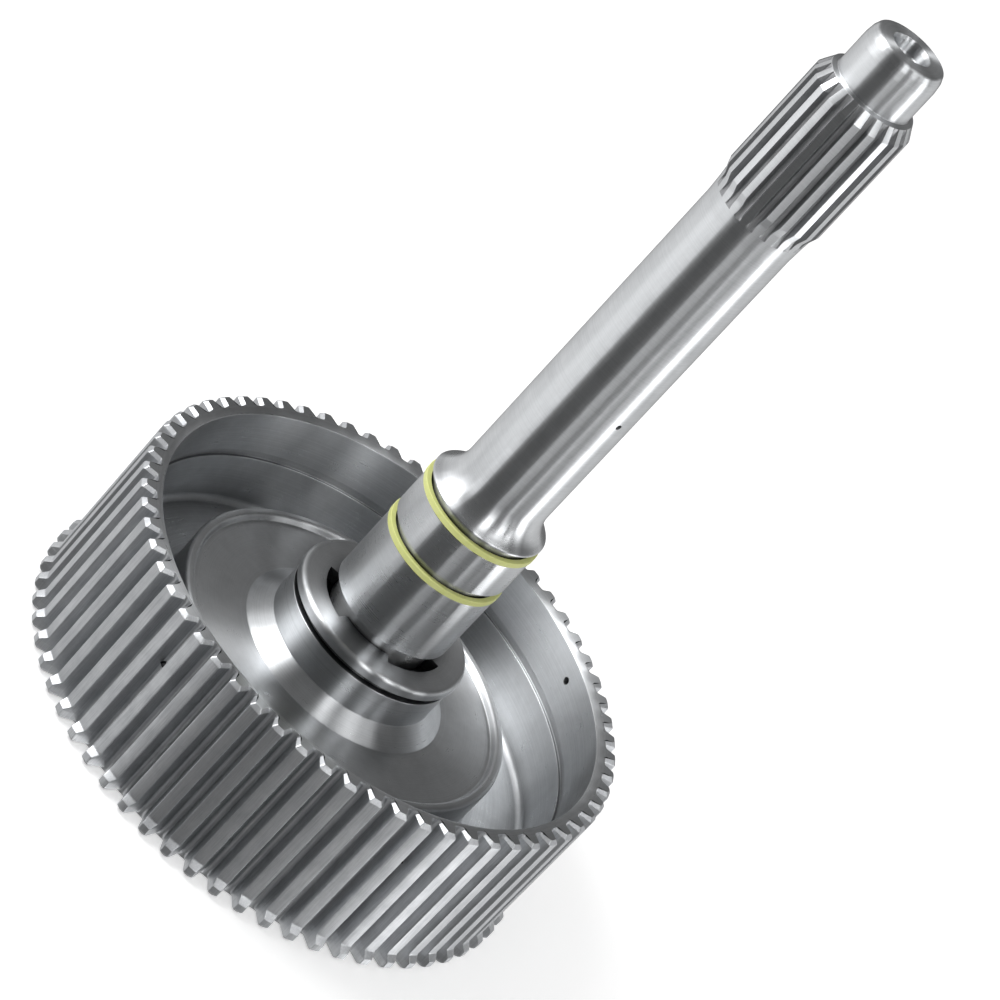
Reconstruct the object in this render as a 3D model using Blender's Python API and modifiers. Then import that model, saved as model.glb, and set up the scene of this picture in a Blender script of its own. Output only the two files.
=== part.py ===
"""Transmission input shaft: a hollow splined shaft seated in a toothed clutch drum.

Run with blender --background --python part.py, or from the text editor.
Metres, +Z up. The drum stands on its rear face and the shaft's axis is the Z axis.
"""

import math

import bmesh
import bpy
from mathutils import Matrix, Vector

# Clearance between neighbouring pieces
FIT_GAP = 0.0003

# Clutch drum: wall and external teeth
DRUM_LENGTH = 0.0502
DRUM_BORE_R = 0.0694
DRUM_WALL = 0.0023
TOOTH_COUNT = 62
TOOTH_DEPTH = 0.0042
TOOTH_TIP_WIDTH = 0.0033
TOOTH_GAP_WIDTH = 0.0014
TOOTH_CHAMFER_DEPTH = 0.0019
TOOTH_CHAMFER_LENGTH = 0.0017
BORE_LEAD_IN = 0.0011

# Collar that the tooth ends carry at the rear
COLLAR_STEP = 0.0018
COLLAR_WIDTH = 0.0020
COLLAR_SLOPE_LENGTH = 0.0016
COLLAR_CHAMFER = 0.0014

# Oil groove in the drum's bore, and the oil holes between the teeth
OIL_GROOVE_DROP = 0.0165
OIL_GROOVE_WIDTH = 0.0026
OIL_GROOVE_DEPTH = 0.0009
WALL_HOLE_R = 0.0011
HIGH_HOLE_DROP = 0.0066
LOW_HOLE_GAPS = (-4.5, 6.5)
HIGH_HOLE_GAPS = (23.5,)

# Web, platform and the recess behind them
RECESS_LIP = 0.0034
RECESS_DEPTH = 0.0105
WEB_THICKNESS = 0.0050
PLATFORM_R = 0.0510
PLATFORM_RISE = 0.0157
PLATFORM_THICKNESS = 0.0062
SKIRT_WALL = 0.0060
BEAD_WIDTH = 0.0032
BEAD_HEIGHT = 0.0018
CORNER_FILLET = 0.0020

# Hub: wall, snap-ring groove, land, slots and rear boss
HUB_WALL = 0.0100
HUB_RISE = 0.0208
HUB_FILLET = 0.0064
LAND_OVERHANG = 0.0004
LAND_HEIGHT = 0.0044
LAND_CHAMFER = 0.0015
UNDERCUT_DEPTH = 0.0020
UNDERCUT_HEIGHT = 0.0030
SLOT_COUNT = 4
SLOT_FIRST_ANGLE = math.radians(37.0)
SLOT_SPAN = math.radians(64.0)
SLOT_UNDER_SHAFT = 0.0006
SLOT_WIDTH = 0.0045
SLOT_DEPTH = 0.0040
DRAIN_HOLE_R = 0.0015
DRAIN_HOLE_ANGLE = math.radians(63.0)
BOSS_WALL = 0.0084
BOSS_LENGTH = 0.0110

# Shaft: spigot in the hub, journal and body
SPIGOT_R = 0.0153
REAR_SPLINE_COUNT = 24
REAR_SPLINE_DEPTH = 0.0011
REAR_SPLINE_LENGTH = 0.0200
REAR_TOOTH_WIDTH = 0.0015
TAIL_LENGTH = 0.0030
JOURNAL_R = 0.0178
JOURNAL_LENGTH = 0.0429
JOURNAL_EDGE = 0.0003
FLARE_RADIUS = 0.0090
BODY_R = 0.01315
BODY_LENGTH = 0.1044

# Shaft: front spline and nose
SPLINE_COUNT = 21
SPLINE_STEP = 0.00145
SPLINE_DEPTH = 0.0017
SPLINE_LENGTH = 0.0326
SPLINE_GAP_FLOOR = 0.0013
SPLINE_GAP_MOUTH = 0.0023
SPLINE_FIRST_GAP = math.radians(3.15)
HOB_RADIUS = 0.0350
SWELL_LENGTH = 0.0079
SWELL_HEIGHT = 0.00055
SPLINE_LEAD_LENGTH = 0.0026
SPLINE_END_LENGTH = 0.0038
SPLINE_END_DEPTH = 0.0021
NOSE_R = 0.0110
NOSE_LENGTH = 0.0144
NOSE_EDGE_DEPTH = 0.0007
NOSE_EDGE_LENGTH = 0.0027

# Oil passages in the shaft
OIL_BORE_R = 0.00375
BORE_MOUTH_DEPTH = 0.0015
CROSS_HOLE_R = 0.0008
CROSS_HOLE_RISE = 0.0440
CROSS_HOLE_ANGLE = math.radians(54.0)
FEED_HOLE_R = 0.0015

# Seal rings and their grooves
RING_HEIGHT = 0.0021
RING_THICKNESS = 0.0018
RING_STAND_OUT = 0.00025
RING_FLOAT = 0.0016
RING_SPACING = 0.0154
RING_TOP_LAND = 0.0008
RING_CUT_WIDTH = 0.0006
RING_CUT_SLANT = math.radians(40.0)

# Snap ring behind the hub
CLIP_THICKNESS = 0.0018
CLIP_WIDTH = 0.0032
CLIP_GROOVE_DEPTH = 0.0012
CLIP_OPENING = math.radians(26.0)
CLIP_EAR = 0.0022
CLIP_EAR_HOLE_R = 0.0009

# Pilot bush in the shaft's rear counterbore
BUSH_BORE_R = 0.0062
BUSH_WALL = 0.0022
BUSH_LENGTH = 0.0140
BUSH_CHAMFER = 0.0006

# Facets around each turned piece
DRUM_STEPS = TOOTH_COUNT
SHAFT_STEPS = 2 * SPLINE_COUNT
RING_STEPS = 32
HOLE_STEPS = 12
FILLET_FACET = 0.0025
SHARP_ANGLE = math.radians(28.0)

# Radii that follow from the sizes above
TOOTH_ROOT_R = DRUM_BORE_R + DRUM_WALL
TOOTH_TIP_R = TOOTH_ROOT_R + TOOTH_DEPTH
COLLAR_R = TOOTH_TIP_R + COLLAR_STEP
HUB_BORE_R = SPIGOT_R + FIT_GAP
HUB_R = HUB_BORE_R + HUB_WALL
LAND_R = HUB_R + LAND_OVERHANG
SLOT_INNER_R = JOURNAL_R - SLOT_UNDER_SHAFT
REAR_ROOT_R = SPIGOT_R - REAR_SPLINE_DEPTH
HUB_TOOTH_R = REAR_ROOT_R + FIT_GAP
BOSS_R = HUB_BORE_R + BOSS_WALL
TAIL_R = REAR_ROOT_R - FIT_GAP
CLIP_GROOVE_R = TAIL_R - CLIP_GROOVE_DEPTH
RING_R = JOURNAL_R + RING_STAND_OUT
RING_GROOVE_R = RING_R - RING_THICKNESS - FIT_GAP
SPLINE_TIP_R = BODY_R + SPLINE_STEP
SPLINE_ROOT_R = SPLINE_TIP_R - SPLINE_DEPTH
BUSH_R = BUSH_BORE_R + BUSH_WALL
COUNTERBORE_R = BUSH_R + FIT_GAP

# Heights that follow from the sizes above
TRENCH_Z = RECESS_DEPTH + WEB_THICKNESS
PLATFORM_Z = TRENCH_Z + PLATFORM_RISE
HUB_TOP_Z = PLATFORM_Z + HUB_RISE
PLATFORM_BACK_Z = PLATFORM_Z - PLATFORM_THICKNESS
BOSS_END_Z = PLATFORM_BACK_Z - BOSS_LENGTH
REAR_SPLINE_TOP_Z = BOSS_END_Z + REAR_SPLINE_LENGTH
SEAT_Z = HUB_TOP_Z + FIT_GAP
JOURNAL_TOP_Z = SEAT_Z + JOURNAL_LENGTH
RING_GROOVE_WIDTH = FIT_GAP + RING_HEIGHT + RING_FLOAT
UPPER_GROOVE_Z = JOURNAL_TOP_Z - RING_TOP_LAND - RING_GROOVE_WIDTH
LOWER_GROOVE_Z = UPPER_GROOVE_Z - RING_SPACING
SWELL_Z = JOURNAL_TOP_Z + BODY_LENGTH
SPLINE_LEAD_Z = SWELL_Z + SWELL_LENGTH
SPLINE_Z = SPLINE_LEAD_Z + SPLINE_LEAD_LENGTH
SPLINE_TOP_Z = SPLINE_Z + SPLINE_LENGTH
NOSE_Z = SPLINE_TOP_Z + SPLINE_END_LENGTH
SHAFT_TOP_Z = NOSE_Z + NOSE_LENGTH
CLIP_TOP_Z = BOSS_END_Z - FIT_GAP
CLIP_BOTTOM_Z = CLIP_TOP_Z - CLIP_THICKNESS
SHAFT_END_Z = CLIP_BOTTOM_Z - FIT_GAP - TAIL_LENGTH
COUNTERBORE_TOP_Z = SHAFT_END_Z + BUSH_LENGTH + 2 * FIT_GAP


def clear_scene():
    for obj in list(bpy.data.objects):
        bpy.data.objects.remove(obj, do_unlink=True)


def new_collection(name):
    collection = bpy.data.collections.new(name)
    bpy.context.scene.collection.children.link(collection)
    return collection


def new_material(name, colour, roughness, metallic):
    material = bpy.data.materials.new(name)
    material.use_nodes = True
    shader = material.node_tree.nodes["Principled BSDF"]
    shader.inputs["Base Color"].default_value = (*colour, 1.0)
    shader.inputs["Roughness"].default_value = roughness
    shader.inputs["Metallic"].default_value = metallic
    return material


def add_object(name, mesh, collection, material=None):
    obj = bpy.data.objects.new(name, mesh)
    collection.objects.link(obj)
    if material:
        mesh.materials.append(material)
    return obj


def make_cutter(obj):
    obj.hide_render = True
    obj.display_type = "WIRE"
    return obj


def on_axis(angle, radius, z):
    """Point at an angle from the front, -Y, counted towards +X."""
    return Vector((radius * math.sin(angle), -radius * math.cos(angle), z))


def rounded(corners):
    """Outline through (r, z) or (r, z, fillet) corners, with arcs of the given fillets."""
    outline = []
    for index, corner in enumerate(corners):
        here = Vector(corner[:2])
        if len(corner) == 2:
            outline.append(here)
            continue
        back = Vector(corners[index - 1][:2]) - here
        ahead = Vector(corners[(index + 1) % len(corners)][:2]) - here
        half_turn = back.angle(ahead) / 2
        run = min(corner[2] / math.tan(half_turn), 0.45 * back.length, 0.45 * ahead.length)
        radius = run * math.tan(half_turn)
        centre = here + (back.normalized() + ahead.normalized()).normalized() * (
            radius / math.sin(half_turn)
        )
        start = here + back.normalized() * run - centre
        end = here + ahead.normalized() * run - centre
        sweep = start.angle_signed(end)
        segments = max(2, round(abs(sweep) * radius / FILLET_FACET))
        for step in range(segments + 1):
            outline.append(centre + Matrix.Rotation(-sweep * step / segments, 2) @ start)
    return outline


def turned(name, outline, steps, collection, material=None, first_angle=0.0):
    """Piece turned from a closed outline that runs down its outer side."""
    mesh = bpy.data.meshes.new(name)
    points = [(r, 0.0, z) for r, z in outline]
    edges = [(i, (i + 1) % len(points)) for i in range(len(points))]
    mesh.from_pydata(points, edges, [])
    obj = add_object(name, mesh, collection, material)
    obj.rotation_euler.z = first_angle
    screw = obj.modifiers.new("Turn", "SCREW")
    screw.axis = "Z"
    screw.steps = steps
    screw.render_steps = steps
    screw.use_merge_vertices = True
    screw.merge_threshold = 0.00001
    return obj


def flat_prism(name, outlines, bottom, top, collection):
    """Solid between two heights from flat outlines; an outline inside another is a hole."""
    curve = bpy.data.curves.new(name, "CURVE")
    curve.dimensions = "2D"
    curve.fill_mode = "BOTH"
    curve.extrude = (top - bottom) / 2
    for outline in outlines:
        spline = curve.splines.new("POLY")
        spline.points.add(len(outline) - 1)
        for point, (x, y) in zip(spline.points, outline):
            point.co = (x, y, 0.0, 1.0)
        spline.use_cyclic_u = True
    source = bpy.data.objects.new(name + "_outline", curve)
    collection.objects.link(source)
    source.location.z = (top + bottom) / 2
    bpy.context.view_layer.update()
    depsgraph = bpy.context.evaluated_depsgraph_get()
    mesh = bpy.data.meshes.new_from_object(source.evaluated_get(depsgraph))
    shape = bmesh.new()
    shape.from_mesh(mesh)
    bmesh.ops.remove_doubles(shape, verts=shape.verts, dist=0.000001)
    bmesh.ops.recalc_face_normals(shape, faces=shape.faces)
    shape.to_mesh(mesh)
    shape.free()
    obj = add_object(name, mesh, collection)
    obj.matrix_world = source.matrix_world
    bpy.data.objects.remove(source, do_unlink=True)
    return obj


def drill(name, start, end, radius, collection):
    """Cylinder cutter from one point to another."""
    run = end - start
    mesh = bpy.data.meshes.new(name)
    shape = bmesh.new()
    bmesh.ops.create_cone(
        shape, cap_ends=True, segments=HOLE_STEPS, radius1=radius, radius2=radius, depth=run.length
    )
    shape.to_mesh(mesh)
    shape.free()
    obj = add_object(name, mesh, collection)
    obj.rotation_mode = "QUATERNION"
    obj.rotation_quaternion = run.to_track_quat("Z", "Y")
    obj.location = (start + end) / 2
    return make_cutter(obj)


def cut(obj, cutter, operation="DIFFERENCE"):
    boolean = obj.modifiers.new(cutter.name, "BOOLEAN")
    boolean.operation = operation
    boolean.solver = "EXACT"
    boolean.object = cutter
    make_cutter(cutter)


def finish(obj):
    """Turn the modifiers into the mesh itself, smooth with crisp edges."""
    bpy.context.view_layer.update()
    depsgraph = bpy.context.evaluated_depsgraph_get()
    mesh = bpy.data.meshes.new_from_object(obj.evaluated_get(depsgraph))
    obj.modifiers.clear()
    obj.data = mesh
    mesh.name = obj.name
    mesh.shade_smooth()
    mesh.set_sharp_from_angle(angle=SHARP_ANGLE)


def drum_outline():
    """Section of the drum, from the hub's bore out over the rim and back underneath."""
    tip_scale = 1 / math.cos(math.pi / DRUM_STEPS)
    tip_r = TOOTH_TIP_R * tip_scale
    collar_r = COLLAR_R * tip_scale
    groove_z = DRUM_LENGTH - OIL_GROOVE_DROP
    groove_r = DRUM_BORE_R + OIL_GROOVE_DEPTH
    groove_low_z = groove_z - OIL_GROOVE_WIDTH / 2
    groove_high_z = groove_z + OIL_GROOVE_WIDTH / 2
    bore_edge = 2 * FIT_GAP
    undercut_r = HUB_R - UNDERCUT_DEPTH
    undercut_top_z = HUB_TOP_Z - LAND_HEIGHT
    undercut_low_z = undercut_top_z - UNDERCUT_HEIGHT
    bead_r = PLATFORM_R - BEAD_WIDTH
    bead_z = PLATFORM_Z + BEAD_HEIGHT
    bead_slope = BEAD_HEIGHT / 3
    skirt_r = PLATFORM_R - SKIRT_WALL
    recess_r = DRUM_BORE_R - RECESS_LIP
    collar_foot_z = COLLAR_CHAMFER + COLLAR_WIDTH
    hub_front = [
        (HUB_BORE_R, HUB_TOP_Z - bore_edge),
        (HUB_BORE_R + bore_edge, HUB_TOP_Z),
        (LAND_R - LAND_CHAMFER, HUB_TOP_Z),
        (LAND_R, HUB_TOP_Z - LAND_CHAMFER),
        (LAND_R, undercut_top_z),
        (undercut_r, undercut_top_z),
        (undercut_r, undercut_low_z),
        (HUB_R, undercut_low_z),
        (HUB_R, PLATFORM_Z, HUB_FILLET),
    ]
    platform = [
        (bead_r, PLATFORM_Z),
        (bead_r + bead_slope, bead_z),
        (PLATFORM_R, bead_z, BEAD_WIDTH / 3),
        (PLATFORM_R, TRENCH_Z, CORNER_FILLET),
        (DRUM_BORE_R, TRENCH_Z, CORNER_FILLET),
    ]
    bore = [
        (DRUM_BORE_R, groove_low_z),
        (groove_r, groove_low_z),
        (groove_r, groove_high_z),
        (DRUM_BORE_R, groove_high_z),
        (DRUM_BORE_R, DRUM_LENGTH - BORE_LEAD_IN),
        (DRUM_BORE_R + BORE_LEAD_IN, DRUM_LENGTH),
    ]
    outside = [
        (tip_r - TOOTH_CHAMFER_DEPTH, DRUM_LENGTH),
        (tip_r, DRUM_LENGTH - TOOTH_CHAMFER_LENGTH),
        (tip_r, collar_foot_z + COLLAR_SLOPE_LENGTH),
        (collar_r, collar_foot_z),
        (collar_r, COLLAR_CHAMFER),
        (collar_r - COLLAR_CHAMFER, 0.0),
    ]
    rear = [
        (recess_r + BORE_LEAD_IN, 0.0),
        (recess_r, BORE_LEAD_IN),
        (recess_r, RECESS_DEPTH, CORNER_FILLET),
        (skirt_r, RECESS_DEPTH),
        (skirt_r, PLATFORM_BACK_Z, CORNER_FILLET),
        (BOSS_R, PLATFORM_BACK_Z, CORNER_FILLET),
        (BOSS_R, BOSS_END_Z + BORE_LEAD_IN),
        (BOSS_R - BORE_LEAD_IN, BOSS_END_Z),
        (HUB_TOOTH_R + bore_edge, BOSS_END_Z),
        (HUB_TOOTH_R, BOSS_END_Z + bore_edge),
        (HUB_TOOTH_R, REAR_SPLINE_TOP_Z),
        (HUB_BORE_R, REAR_SPLINE_TOP_Z + bore_edge),
    ]
    return rounded(hub_front + platform + bore + outside + rear)


def external_teeth_outline():
    """Flat outline of the drum's teeth, drawn out past the collar."""
    reach_r = COLLAR_R + TOOTH_CHAMFER_DEPTH
    root_half = TOOTH_ROOT_R * math.pi / TOOTH_COUNT - TOOTH_GAP_WIDTH / 2
    tip_half = TOOTH_TIP_WIDTH / 2
    slope = (root_half - tip_half) / TOOTH_DEPTH
    reach_half = max(tip_half - slope * (reach_r - TOOTH_TIP_R), tip_half / 4)
    outline = []
    for tooth in range(TOOTH_COUNT):
        turn = Matrix.Rotation(2 * math.pi * tooth / TOOTH_COUNT, 2)
        for x, y in (
            (-root_half, -TOOTH_ROOT_R),
            (-reach_half, -reach_r),
            (reach_half, -reach_r),
            (root_half, -TOOTH_ROOT_R),
        ):
            outline.append(turn @ Vector((x, y)))
    return outline


def rear_spline_outline(grow):
    """Flat outline of the shaft's rear spline, grown by a clearance."""
    tip_r = SPIGOT_R + grow
    core_r = REAR_ROOT_R - FIT_GAP
    tip_half = REAR_TOOTH_WIDTH / 2 + grow
    core_half = tip_half + (tip_r - core_r) / 4
    outline = []
    for tooth in range(REAR_SPLINE_COUNT):
        turn = Matrix.Rotation(2 * math.pi * tooth / REAR_SPLINE_COUNT, 2)
        for x, y in (
            (-core_half, -core_r),
            (-tip_half, -tip_r),
            (tip_half, -tip_r),
            (core_half, -core_r),
        ):
            outline.append(turn @ Vector((x, y)))
    return outline


def slot_outline(middle):
    """Kidney-shaped slot around a middle angle, in the hub's top face."""
    steps = 8
    outer_r = SLOT_INNER_R + SLOT_WIDTH
    angles = [middle + SLOT_SPAN * (step / steps - 0.5) for step in range(steps + 1)]
    inner = [on_axis(angle, SLOT_INNER_R, 0.0).to_2d() for angle in angles]
    outer = [on_axis(angle, outer_r, 0.0).to_2d() for angle in reversed(angles)]
    return inner + outer


def build_drum(parts, cutters, material):
    half_facet = math.pi / DRUM_STEPS - math.pi / 2
    drum = turned(
        "clutch_drum", drum_outline(), DRUM_STEPS, parts, material, first_angle=half_facet
    )
    teeth = flat_prism(
        "tooth_form", [external_teeth_outline()], -FIT_GAP, DRUM_LENGTH + HUB_RISE, cutters
    )
    cut(drum, teeth, "INTERSECT")

    spline_bore = flat_prism(
        "hub_spline_form",
        [rear_spline_outline(FIT_GAP)],
        BOSS_END_Z - FIT_GAP,
        REAR_SPLINE_TOP_Z + 2 * FIT_GAP,
        cutters,
    )
    cut(drum, spline_bore)

    middles = [SLOT_FIRST_ANGLE + 2 * math.pi * n / SLOT_COUNT for n in range(SLOT_COUNT)]
    slots = flat_prism(
        "hub_slot_form",
        [slot_outline(middle) for middle in middles],
        HUB_TOP_Z - SLOT_DEPTH,
        HUB_TOP_Z + SLOT_DEPTH,
        cutters,
    )
    cut(drum, slots)

    drain_r = SLOT_INNER_R + SLOT_WIDTH / 2
    drain = drill(
        "drain_hole_form",
        on_axis(DRAIN_HOLE_ANGLE, drain_r, BOSS_END_Z - SLOT_DEPTH),
        on_axis(DRAIN_HOLE_ANGLE, drain_r, HUB_TOP_Z - SLOT_DEPTH / 2),
        DRAIN_HOLE_R,
        cutters,
    )
    cut(drum, drain)

    pitch = 2 * math.pi / TOOTH_COUNT
    holes = [(gap, OIL_GROOVE_DROP) for gap in LOW_HOLE_GAPS]
    holes += [(gap, HIGH_HOLE_DROP) for gap in HIGH_HOLE_GAPS]
    for number, (gap, drop) in enumerate(holes, start=1):
        z = DRUM_LENGTH - drop
        hole = drill(
            f"wall_hole_form_{number}",
            on_axis(gap * pitch, DRUM_BORE_R - DRUM_WALL, z),
            on_axis(gap * pitch, COLLAR_R, z),
            WALL_HOLE_R,
            cutters,
        )
        cut(drum, hole)
    finish(drum)


def shaft_outline():
    """Section of the shaft, from the mouth of its oil bore down the outside and back up."""
    flare_r = JOURNAL_R - JOURNAL_EDGE
    flare_z = JOURNAL_TOP_Z
    centre_r = BODY_R + FLARE_RADIUS
    flare_rise = math.sqrt(max(FLARE_RADIUS**2 - (centre_r - flare_r) ** 2, 0.0))
    centre_z = flare_z + flare_rise
    flare_start = math.atan2(flare_rise, centre_r - flare_r)
    flare = []
    flare_steps = 5
    for step in range(flare_steps + 1):
        angle = flare_start * step / flare_steps
        flare.append(
            (
                centre_r - FLARE_RADIUS * math.cos(angle),
                centre_z - FLARE_RADIUS * math.sin(angle),
            )
        )
    nose = [
        (OIL_BORE_R + BORE_MOUTH_DEPTH, SHAFT_TOP_Z),
        (NOSE_R - NOSE_EDGE_DEPTH, SHAFT_TOP_Z),
        (NOSE_R - NOSE_EDGE_DEPTH / 4, SHAFT_TOP_Z - NOSE_EDGE_LENGTH / 2),
        (NOSE_R, SHAFT_TOP_Z - NOSE_EDGE_LENGTH),
        (NOSE_R, NOSE_Z + FIT_GAP),
        (SPLINE_TIP_R - SPLINE_END_DEPTH, NOSE_Z),
    ]
    spline = [
        (SPLINE_TIP_R, SPLINE_TOP_Z),
        (SPLINE_TIP_R, SPLINE_Z),
        (BODY_R + SWELL_HEIGHT, SPLINE_LEAD_Z),
        (BODY_R + SWELL_HEIGHT / 2, SPLINE_LEAD_Z - SWELL_LENGTH * 0.4),
        (BODY_R, SWELL_Z),
    ]
    journal = [(JOURNAL_R, JOURNAL_TOP_Z - JOURNAL_EDGE)]
    for groove_z in (UPPER_GROOVE_Z, LOWER_GROOVE_Z):
        journal += [
            (JOURNAL_R, groove_z + RING_GROOVE_WIDTH),
            (RING_GROOVE_R, groove_z + RING_GROOVE_WIDTH),
            (RING_GROOVE_R, groove_z),
            (JOURNAL_R, groove_z),
        ]
    rear = [
        (JOURNAL_R, SEAT_Z),
        (SPIGOT_R, SEAT_Z),
        (SPIGOT_R, BOSS_END_Z + FIT_GAP),
        (TAIL_R, BOSS_END_Z + FIT_GAP),
        (TAIL_R, BOSS_END_Z),
        (CLIP_GROOVE_R, BOSS_END_Z),
        (CLIP_GROOVE_R, CLIP_BOTTOM_Z - FIT_GAP),
        (TAIL_R, CLIP_BOTTOM_Z - FIT_GAP),
        (TAIL_R, SHAFT_END_Z + BORE_LEAD_IN),
        (TAIL_R - BORE_LEAD_IN, SHAFT_END_Z),
        (COUNTERBORE_R, SHAFT_END_Z),
        (COUNTERBORE_R, COUNTERBORE_TOP_Z),
        (OIL_BORE_R, COUNTERBORE_TOP_Z + COUNTERBORE_R - OIL_BORE_R),
        (OIL_BORE_R, SHAFT_TOP_Z - BORE_MOUTH_DEPTH),
    ]
    return nose + spline + flare + journal + rear


def gap_sections():
    """Height and floor radius along one gap of the front spline, with the hob's run-out."""
    sections = []
    run_out = math.sqrt(2 * HOB_RADIUS * (SPLINE_DEPTH + FIT_GAP))
    steps = 5
    for step in range(steps + 1):
        drop = run_out * (1 - step / steps)
        rise = HOB_RADIUS - math.sqrt(HOB_RADIUS**2 - drop**2)
        sections.append((SPLINE_Z - drop, SPLINE_ROOT_R + rise))
    sections.append((NOSE_Z, SPLINE_ROOT_R))
    sections.append((NOSE_Z + SPLINE_END_LENGTH, SPLINE_ROOT_R))
    return sections


def spline_gap_cutter(cutters):
    """The gaps of the front spline: trapezoids lofted along the shaft."""
    outer_r = SPLINE_TIP_R + 2 * FIT_GAP
    slope = (SPLINE_GAP_MOUTH - SPLINE_GAP_FLOOR) / 2 / SPLINE_DEPTH
    shape = bmesh.new()
    for gap in range(SPLINE_COUNT):
        turn = Matrix.Rotation(SPLINE_FIRST_GAP + 2 * math.pi * gap / SPLINE_COUNT, 3, "Z")
        rows = []
        for z, floor_r in gap_sections():
            floor_half = SPLINE_GAP_FLOOR / 2
            outer_half = floor_half + slope * (outer_r - floor_r)
            corners = (
                (-floor_half, -floor_r, z),
                (floor_half, -floor_r, z),
                (outer_half, -outer_r, z),
                (-outer_half, -outer_r, z),
            )
            rows.append([shape.verts.new(turn @ Vector(corner)) for corner in corners])
        shape.faces.new(rows[0])
        shape.faces.new(reversed(rows[-1]))
        for low, high in zip(rows, rows[1:]):
            for side in range(4):
                beside = (side + 1) % 4
                shape.faces.new((low[side], high[side], high[beside], low[beside]))
    bmesh.ops.recalc_face_normals(shape, faces=shape.faces)
    mesh = bpy.data.meshes.new("spline_gap_form")
    shape.to_mesh(mesh)
    shape.free()
    return add_object("spline_gap_form", mesh, cutters)


def rear_spline_gap_outlines():
    """Flat outlines of the gaps in the shaft's rear spline."""
    reach_r = SPIGOT_R + REAR_SPLINE_DEPTH
    flank = REAR_TOOTH_WIDTH / 2
    widen = REAR_SPLINE_DEPTH / 4
    pitch = 2 * math.pi / REAR_SPLINE_COUNT
    floor_half = REAR_ROOT_R * math.sin(pitch / 2) - flank - widen
    reach_half = reach_r * math.sin(pitch / 2) - flank + widen
    outlines = []
    for gap in range(REAR_SPLINE_COUNT):
        turn = Matrix.Rotation(pitch * (gap + 0.5), 2)
        corners = (
            (-floor_half, -REAR_ROOT_R),
            (-reach_half, -reach_r),
            (reach_half, -reach_r),
            (floor_half, -REAR_ROOT_R),
        )
        outlines.append([turn @ Vector(corner) for corner in corners])
    return outlines


def build_shaft(parts, cutters, material):
    shaft = turned("input_shaft", shaft_outline(), SHAFT_STEPS, parts, material)
    cut(shaft, spline_gap_cutter(cutters))

    rear_gaps = flat_prism(
        "rear_gap_form",
        rear_spline_gap_outlines(),
        BOSS_END_Z - FIT_GAP,
        REAR_SPLINE_TOP_Z + BORE_LEAD_IN,
        cutters,
    )
    cut(shaft, rear_gaps)

    cross_z = JOURNAL_TOP_Z + CROSS_HOLE_RISE
    cross = drill(
        "cross_hole_form",
        on_axis(CROSS_HOLE_ANGLE, 0.0, cross_z),
        on_axis(CROSS_HOLE_ANGLE, JOURNAL_R, cross_z),
        CROSS_HOLE_R,
        cutters,
    )
    cut(shaft, cross)

    feed_z = (LOWER_GROOVE_Z + RING_GROOVE_WIDTH + UPPER_GROOVE_Z) / 2
    feed = drill(
        "feed_hole_form",
        on_axis(math.pi, 0.0, feed_z),
        on_axis(math.pi, RING_R + FEED_HOLE_R, feed_z),
        FEED_HOLE_R,
        cutters,
    )
    cut(shaft, feed)
    finish(shaft)


def build_seal_ring(name, groove_z, cut_angle, parts, cutters, material):
    """Split ring resting on the lower side of its groove."""
    bottom = groove_z + FIT_GAP
    inner_r = RING_R - RING_THICKNESS
    outline = [
        (inner_r, bottom + RING_HEIGHT),
        (RING_R, bottom + RING_HEIGHT),
        (RING_R, bottom),
        (inner_r, bottom),
    ]
    ring = turned(name, outline, RING_STEPS, parts, material)
    mesh = bpy.data.meshes.new(name + "_split_form")
    shape = bmesh.new()
    bmesh.ops.create_cube(shape, size=1.0)
    sizes = Vector((RING_CUT_WIDTH, 2 * RING_THICKNESS, 3 * RING_HEIGHT))
    bmesh.ops.scale(shape, vec=sizes, verts=shape.verts)
    bmesh.ops.rotate(
        shape, matrix=Matrix.Rotation(RING_CUT_SLANT, 3, "Y"), verts=shape.verts
    )
    shape.to_mesh(mesh)
    shape.free()
    split = add_object(name + "_split_form", mesh, cutters)
    split.location = on_axis(cut_angle, RING_R - RING_THICKNESS / 2, bottom + RING_HEIGHT / 2)
    split.rotation_euler.z = cut_angle
    cut(ring, split)
    finish(ring)


def build_snap_ring(parts, material):
    """Open ring with two drilled ears, in the shaft's groove behind the hub."""
    inner_r = CLIP_GROOVE_R + FIT_GAP
    outer_r = inner_r + CLIP_WIDTH
    ear_r = outer_r + CLIP_EAR
    ear_angle = math.asin(CLIP_EAR / outer_r)
    start = CLIP_OPENING / 2
    steps = 28
    sweep = 2 * math.pi - CLIP_OPENING
    inner = [
        on_axis(start + sweep * step / steps, inner_r, 0.0).to_2d() for step in range(steps + 1)
    ]
    back_sweep = sweep - 2 * ear_angle
    outer = [
        on_axis(-start - ear_angle - back_sweep * step / steps, outer_r, 0.0).to_2d()
        for step in range(steps + 1)
    ]
    first_ear = [
        on_axis(-start, ear_r, 0.0).to_2d(),
        on_axis(-start - ear_angle, ear_r, 0.0).to_2d(),
    ]
    last_ear = [
        on_axis(start + ear_angle, ear_r, 0.0).to_2d(),
        on_axis(start, ear_r, 0.0).to_2d(),
    ]
    outlines = [inner + first_ear + outer + last_ear]
    hole_r = (inner_r + ear_r) / 2
    for side in (-1, 1):
        middle = on_axis(side * (start + ear_angle / 2), hole_r, 0.0).to_2d()
        ring = []
        for step in range(HOLE_STEPS):
            angle = 2 * math.pi * step / HOLE_STEPS
            offset = Vector((math.cos(angle), math.sin(angle))) * CLIP_EAR_HOLE_R
            ring.append(middle + offset)
        outlines.append(ring)
    clip = flat_prism("shaft_snap_ring", outlines, CLIP_BOTTOM_Z, CLIP_TOP_Z, parts)
    clip.data.materials.append(material)
    finish(clip)


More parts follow.
